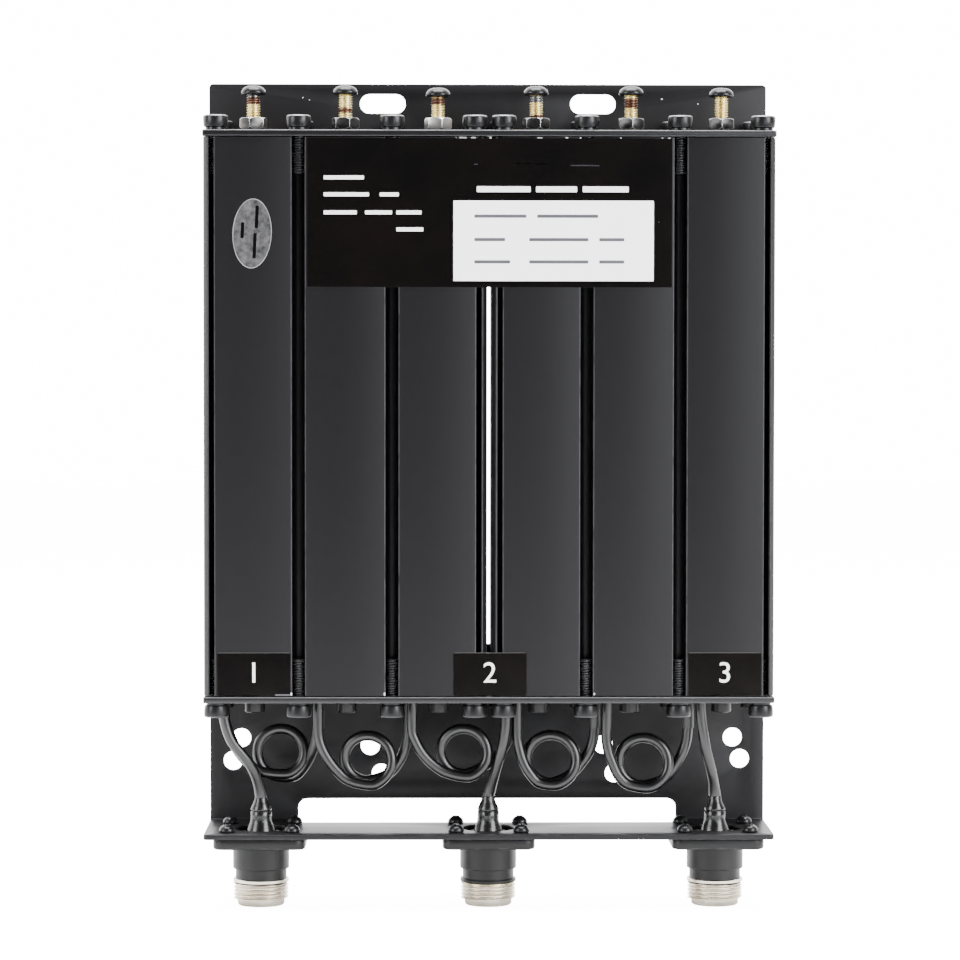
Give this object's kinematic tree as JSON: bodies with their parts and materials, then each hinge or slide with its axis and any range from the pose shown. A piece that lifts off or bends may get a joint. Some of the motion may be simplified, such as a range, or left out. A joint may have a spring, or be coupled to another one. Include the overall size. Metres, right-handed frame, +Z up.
{
  "type": "rf duplexer",
  "caption": "Black cavity duplexer: twin extruded cavity blocks with tuning screws on top, looped phasing cables and threaded coaxial sockets below, on a folded bracket.",
  "frame": {"origin": "middle of the base, on the plane that the socket noses stand on", "axes": "+X to the right along the front, +Y from the front to the back plate, +Z up"},
  "size_m": [0.16, 0.0336, 0.2337],
  "materials": {
    "black_sheet": "satin black paint on folded sheet",
    "black_aluminium": "satin black coated aluminium",
    "black_steel": "black oxide steel",
    "tuner_brass": "turned brass with blackened head",
    "rod_metal": "copper plate on brass",
    "socket_nickel": "nickel plate, black paint on the flange and barrel",
    "gilt_contact": "gilt",
    "white_resin": "smooth",
    "cable_jacket": "satin jacket",
    "shrink_sleeve": "shrunk sleeve",
    "gloss_label": "gloss black label",
    "white_sticker": "white film"
  },
  "bodies": {
    "chassis": {"bracket": "black_sheet", "low_band_block": "black_aluminium", "high_band_block": "black_aluminium", "top_cover": "black_aluminium", "bottom_cover": "black_aluminium", "resonator_rod_1": "rod_metal", "resonator_rod_2": "rod_metal", "resonator_rod_3": "rod_metal", "resonator_rod_4": "rod_metal", "resonator_rod_5": "rod_metal", "resonator_rod_6": "rod_metal", "lock_nut_1": "black_steel", "lock_nut_2": "black_steel", "lock_nut_3": "black_steel", "lock_nut_4": "black_steel", "lock_nut_5": "black_steel", "lock_nut_6": "black_steel", "coupling_loop_1": "rod_metal", "coupling_loop_2": "rod_metal", "coupling_loop_3": "rod_metal", "coupling_loop_4": "rod_metal", "coupling_loop_5": "rod_metal", "coupling_loop_6": "rod_metal", "low_band_socket": "socket_nickel", "low_band_insulator": "white_resin", "low_band_contact": "gilt_contact", "low_band_boot": "shrink_sleeve", "low_band_lead": "cable_jacket", "antenna_socket": "socket_nickel", "antenna_insulator": "white_resin", "antenna_contact": "gilt_contact", "antenna_boot": "shrink_sleeve", "antenna_lead": "cable_jacket", "high_band_socket": "socket_nickel", "high_band_insulator": "white_resin", "high_band_contact": "gilt_contact", "high_band_boot": "shrink_sleeve", "high_band_lead": "cable_jacket", "phasing_loop_1": "cable_jacket", "phasing_loop_2": "cable_jacket", "phasing_loop_3": "cable_jacket", "phasing_loop_4": "cable_jacket", "phasing_loop_5": "cable_jacket", "main_label": "gloss_label", "value_sticker": "white_sticker", "port_label_1": "gloss_label", "port_label_2": "gloss_label", "port_label_3": "gloss_label"},
    "tuner_1_carrier": {"tuning_disc_1": "rod_metal"},
    "tuner_1_screw": {"tuning_screw_1": "tuner_brass"},
    "tuner_2_carrier": {"tuning_disc_2": "rod_metal"},
    "tuner_2_screw": {"tuning_screw_2": "tuner_brass"},
    "tuner_3_carrier": {"tuning_disc_3": "rod_metal"},
    "tuner_3_screw": {"tuning_screw_3": "tuner_brass"},
    "tuner_4_carrier": {"tuning_disc_4": "rod_metal"},
    "tuner_4_screw": {"tuning_screw_4": "tuner_brass"},
    "tuner_5_carrier": {"tuning_disc_5": "rod_metal"},
    "tuner_5_screw": {"tuning_screw_5": "tuner_brass"},
    "tuner_6_carrier": {"tuning_disc_6": "rod_metal"},
    "tuner_6_screw": {"tuning_screw_6": "tuner_brass"}
  },
  "joints": [
    {"name": "tuner_1_travel", "type": "slide", "parent": "chassis", "child": "tuner_1_carrier", "axis": [0, 0, 1], "range_m": [-0.006, 0.008]},
    {"name": "tuner_1_turn", "type": "hinge", "parent": "tuner_1_carrier", "child": "tuner_1_screw", "pos_m": [-0.06645, -0.00068, 0.2293], "axis": [0, 0, 1], "range_deg": [-3086.2, 4114.8]},
    {"name": "tuner_2_travel", "type": "slide", "parent": "chassis", "child": "tuner_2_carrier", "axis": [0, 0, 1], "range_m": [-0.0061, 0.0079]},
    {"name": "tuner_2_turn", "type": "hinge", "parent": "tuner_2_carrier", "child": "tuner_2_screw", "pos_m": [-0.04055, -0.00068, 0.2294], "axis": [0, 0, 1], "range_deg": [-3137.6, 4063.4]},
    {"name": "tuner_3_travel", "type": "slide", "parent": "chassis", "child": "tuner_3_carrier", "axis": [0, 0, 1], "range_m": [-0.0055, 0.0085]},
    {"name": "tuner_3_turn", "type": "hinge", "parent": "tuner_3_carrier", "child": "tuner_3_screw", "pos_m": [-0.01435, -0.00068, 0.2288], "axis": [0, 0, 1], "range_deg": [-2829.1, 4371.9]},
    {"name": "tuner_4_travel", "type": "slide", "parent": "chassis", "child": "tuner_4_carrier", "axis": [0, 0, 1], "range_m": [-0.006, 0.008]},
    {"name": "tuner_4_turn", "type": "hinge", "parent": "tuner_4_carrier", "child": "tuner_4_screw", "pos_m": [0.01335, -0.00068, 0.2293], "axis": [0, 0, 1], "range_deg": [-3086.2, 4114.8]},
    {"name": "tuner_5_travel", "type": "slide", "parent": "chassis", "child": "tuner_5_carrier", "axis": [0, 0, 1], "range_m": [-0.006, 0.008]},
    {"name": "tuner_5_turn", "type": "hinge", "parent": "tuner_5_carrier", "child": "tuner_5_screw", "pos_m": [0.04025, -0.00068, 0.2293], "axis": [0, 0, 1], "range_deg": [-3086.2, 4114.8]},
    {"name": "tuner_6_travel", "type": "slide", "parent": "chassis", "child": "tuner_6_carrier", "axis": [0, 0, 1], "range_m": [-0.0056, 0.0084]},
    {"name": "tuner_6_turn", "type": "hinge", "parent": "tuner_6_carrier", "child": "tuner_6_screw", "pos_m": [0.06575, -0.00068, 0.2289], "axis": [0, 0, 1], "range_deg": [-2880.5, 4320.5]}
  ],
  "couplings": [
    {"joint": "tuner_1_turn", "follows": "tuner_1_travel", "rad_per_m": 8976},
    {"joint": "tuner_2_turn", "follows": "tuner_2_travel", "rad_per_m": 8976},
    {"joint": "tuner_3_turn", "follows": "tuner_3_travel", "rad_per_m": 8976},
    {"joint": "tuner_4_turn", "follows": "tuner_4_travel", "rad_per_m": 8976},
    {"joint": "tuner_5_turn", "follows": "tuner_5_travel", "rad_per_m": 8976},
    {"joint": "tuner_6_turn", "follows": "tuner_6_travel", "rad_per_m": 8976}
  ]
}
